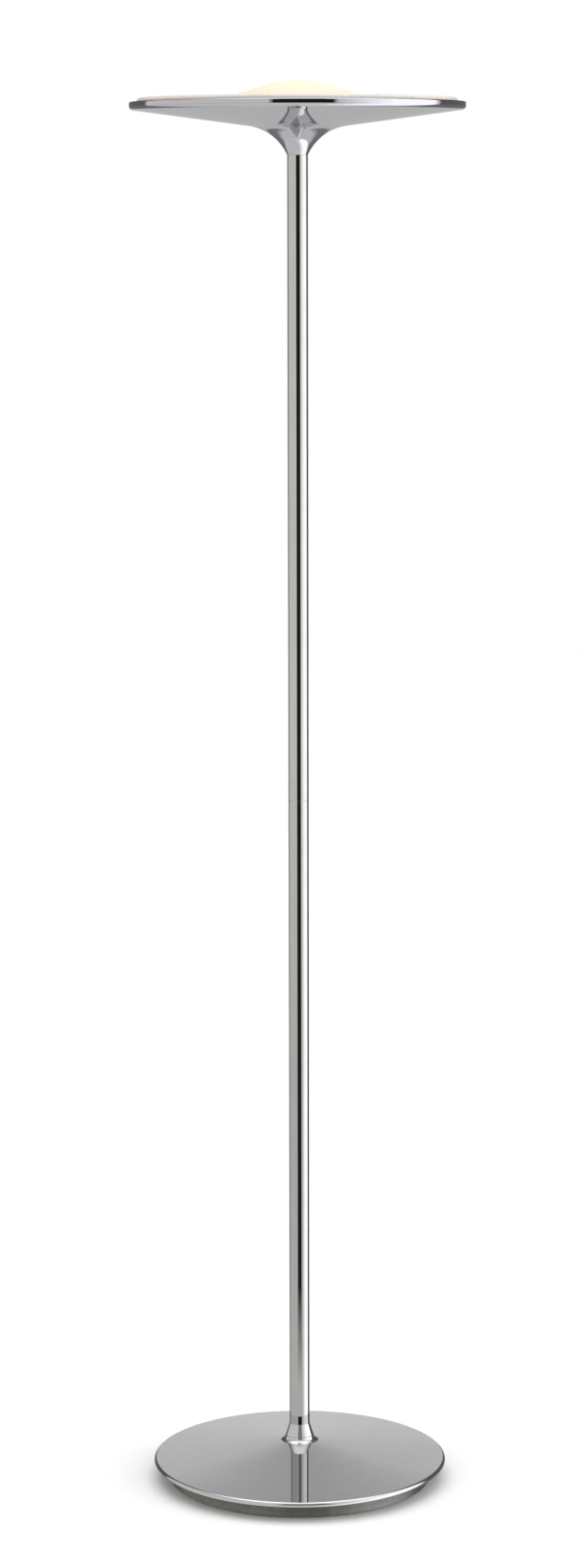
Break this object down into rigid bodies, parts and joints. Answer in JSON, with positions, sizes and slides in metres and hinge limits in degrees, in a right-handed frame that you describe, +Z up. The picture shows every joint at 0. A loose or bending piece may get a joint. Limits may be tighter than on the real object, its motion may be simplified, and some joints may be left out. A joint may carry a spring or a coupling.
{
  "type": "torchiere floor lamp",
  "caption": "Tall torchiere floor lamp: round cone base, slim straight pole and a shallow dish head covered by a domed opal glass diffuser over a double-ended lamp.",
  "frame": {"origin": "on the floor, at the centre of the felt ring, on the axis of the pole", "axes": "+Z up along the pole; -Y the front; +Y the rear, where the cable enters; X along the double-ended lamp, with the sprung holder at +X"},
  "size_m": [0.41, 0.41, 1.76],
  "materials": {
    "chrome_base": "mirror chrome plate on spun steel",
    "chrome_pole": "mirror chrome plate on drawn steel tube",
    "chrome_head": "satin to mirror chrome plate on spun steel",
    "cast_weight": "silver grey enamel on cast iron",
    "felt": "dense black felt",
    "plate_steel": "zinc plated sheet",
    "zinc_hardware": "bright zinc plated, threaded",
    "bush_steel": "turned steel",
    "black_rubber": "soft moulded",
    "strap_steel": "zinc plated strip",
    "reflector_aluminium": "anodised, hammered",
    "steatite": "unglazed white steatite",
    "brass_contact": "nickel flashed brass",
    "spring_steel": "music wire",
    "quartz": "clear fused quartz",
    "tungsten": "drawn wire",
    "opal_glass": "flashed opal glass, satin underside",
    "clear_silicone": "translucent silicone",
    "lead_brown": "silicone insulation",
    "lead_blue": "silicone insulation",
    "lead_green": "silicone insulation, green with yellow",
    "block_plastic": "heat resistant nylon"
  },
  "bodies": {
    "stand": {"base_cover": "chrome_base", "base_weight": "cast_weight", "felt_ring": "felt", "bottom_plate": "plate_steel", "bottom_plate_screws": "zinc_hardware", "cable_grommet": "black_rubber", "base_rod": "zinc_hardware", "base_washer": "zinc_hardware", "base_nut": "zinc_hardware", "base_spacer": "bush_steel", "terminal_block": "block_plastic", "terminal_screws": "brass_contact", "lower_tube": "chrome_pole", "upper_tube": "chrome_pole", "lower_tube_foot_bush": "bush_steel", "lower_tube_top_bush": "bush_steel", "upper_tube_foot_bush": "bush_steel", "upper_tube_top_bush": "bush_steel", "joint_rod": "zinc_hardware", "head_rod": "zinc_hardware", "head_shell": "chrome_head", "head_washer": "zinc_hardware", "head_nut": "zinc_hardware", "lamp_strap": "strap_steel", "reflector_dish": "reflector_aluminium", "holder_sprung": "steatite", "holder_fixed": "steatite", "fixed_contact": "brass_contact", "contact_spring": "spring_steel", "holder_screws": "zinc_hardware", "diffuser_pads": "clear_silicone", "live_lead": "lead_brown", "neutral_lead": "lead_blue", "earth_lead": "lead_green", "earth_tag": "brass_contact", "earth_screw": "zinc_hardware", "lead_grommets": "clear_silicone"},
    "diffuser": {"diffuser": "opal_glass"},
    "lamp": {"lamp_envelope": "quartz", "lamp_caps": "steatite", "lamp_contacts": "brass_contact", "lamp_filament": "tungsten"},
    "plunger": {"contact_plunger": "brass_contact"}
  },
  "joints": [
    {"name": "diffuser_lift", "type": "slide", "parent": "stand", "child": "diffuser", "axis": [0, 0, 1], "range_m": [0, 0.06]},
    {"name": "lamp_push", "type": "slide", "parent": "stand", "child": "lamp", "axis": [1, 0, 0], "range_m": [0, 0.003], "stiffness_N_per_m": 4000, "springref_m": -0.002},
    {"name": "plunger_slide", "type": "slide", "parent": "stand", "child": "plunger", "axis": [1, 0, 0], "range_m": [0, 0.003], "deforming": ["contact_spring"]}
  ],
  "couplings": [
    {"joint": "plunger_slide", "follows": "lamp_push", "ratio": 1}
  ]
}
